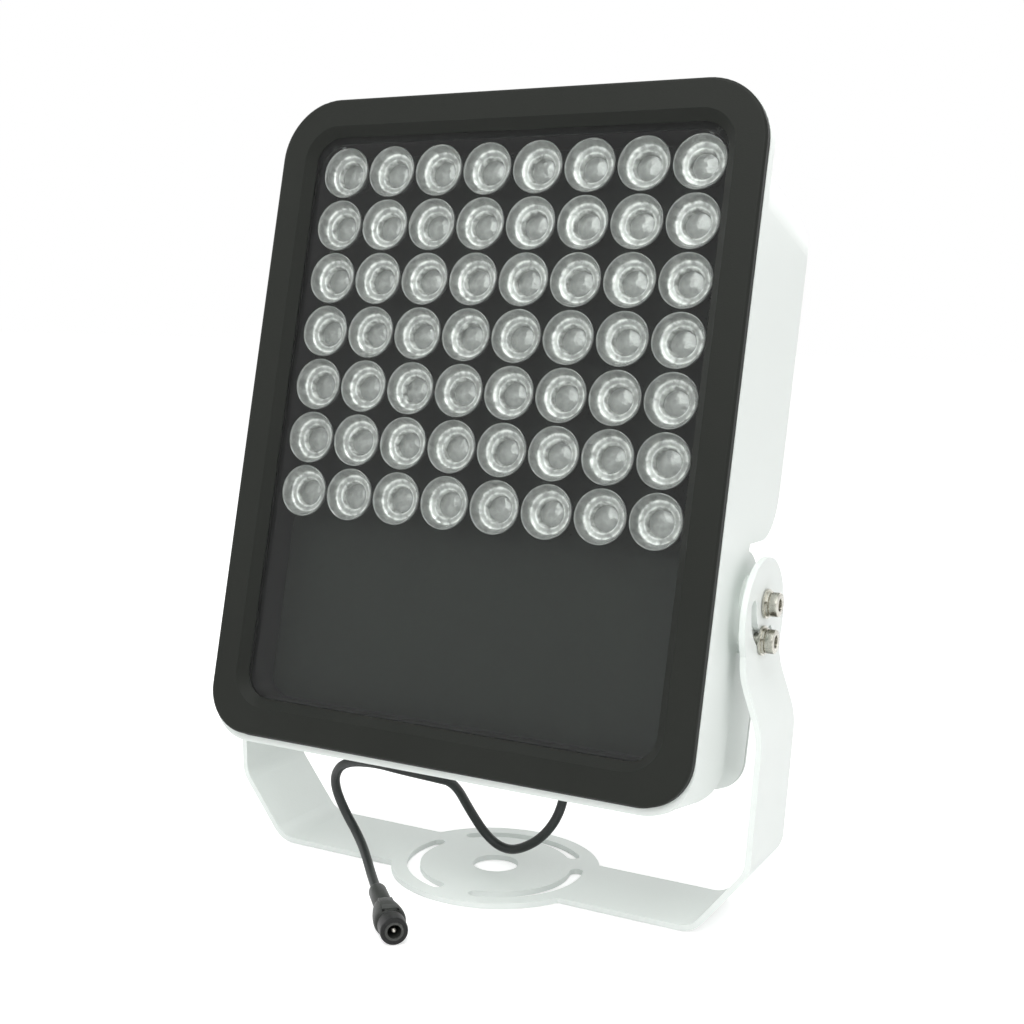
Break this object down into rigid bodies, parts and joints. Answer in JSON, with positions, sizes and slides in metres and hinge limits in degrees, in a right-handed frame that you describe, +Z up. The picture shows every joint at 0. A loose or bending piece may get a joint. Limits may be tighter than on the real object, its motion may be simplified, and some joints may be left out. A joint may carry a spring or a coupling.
{
  "type": "infrared illuminator",
  "caption": "Rectangular infrared floodlight head with a lensed emitter grid behind flat glass, finned back and driver box, tilting in a U-shaped foot bracket, with a short power lead.",
  "frame": {"origin": "centre of the foot's bore on the underside of the foot, on the floor", "axes": "+Z up, -Y the way the glass faces, +X to the right seen from the front"},
  "size_m": [0.2612, 0.1716, 0.3485],
  "materials": {
    "bracket_paint": "white powder coat, satin",
    "housing_paint": "cast aluminium, white powder coat, satin",
    "bezel_paint": "black powder coat, satin",
    "clear_glass": "flat clear tempered glass",
    "clear_lens": "clear polished acrylic",
    "board_mask": "metal-core board with black solder mask",
    "driver_mask": "green solder mask",
    "emitter": "small ceramic package under a clear dome",
    "black_rubber": "matt silicone",
    "black_nylon": "moulded, fine grain",
    "lead_sheath": "soft PVC sheath, semi-matt",
    "steel": "stainless",
    "liner": "light insulating liner",
    "pin_metal": "plated pin"
  },
  "bodies": {
    "bracket": {"bracket": "bracket_paint", "lead": "lead_sheath", "jack_body": "black_nylon", "jack_liner": "liner", "jack_pin": "pin_metal"},
    "head": {"rear_housing": "housing_paint", "front_bezel": "bezel_paint", "front_glass": "clear_glass", "glass_seal": "black_rubber", "led_board": "board_mask", "led_emitters": "emitter", "lens_row_1": "clear_lens", "lens_row_2": "clear_lens", "lens_row_3": "clear_lens", "lens_row_4": "clear_lens", "lens_row_5": "clear_lens", "lens_row_6": "clear_lens", "lens_row_7": "clear_lens", "driver_cover": "housing_paint", "cover_seal": "black_rubber", "cover_screws": "steel", "bezel_screws": "steel", "driver_board": "driver_mask", "cable_gland": "black_nylon", "gland_nut": "black_nylon", "lead_entry": "lead_sheath", "pivot_bolts": "steel", "lock_bolts": "steel", "flat_washers": "steel", "spring_washers": "steel"}
  },
  "joints": [
    {"name": "head_tilt", "type": "hinge", "parent": "bracket", "child": "head", "pos_m": [0, 0, 0.1383], "axis": [1, 0, 0], "range_deg": [-75, 37], "deforming": ["lead"]}
  ]
}
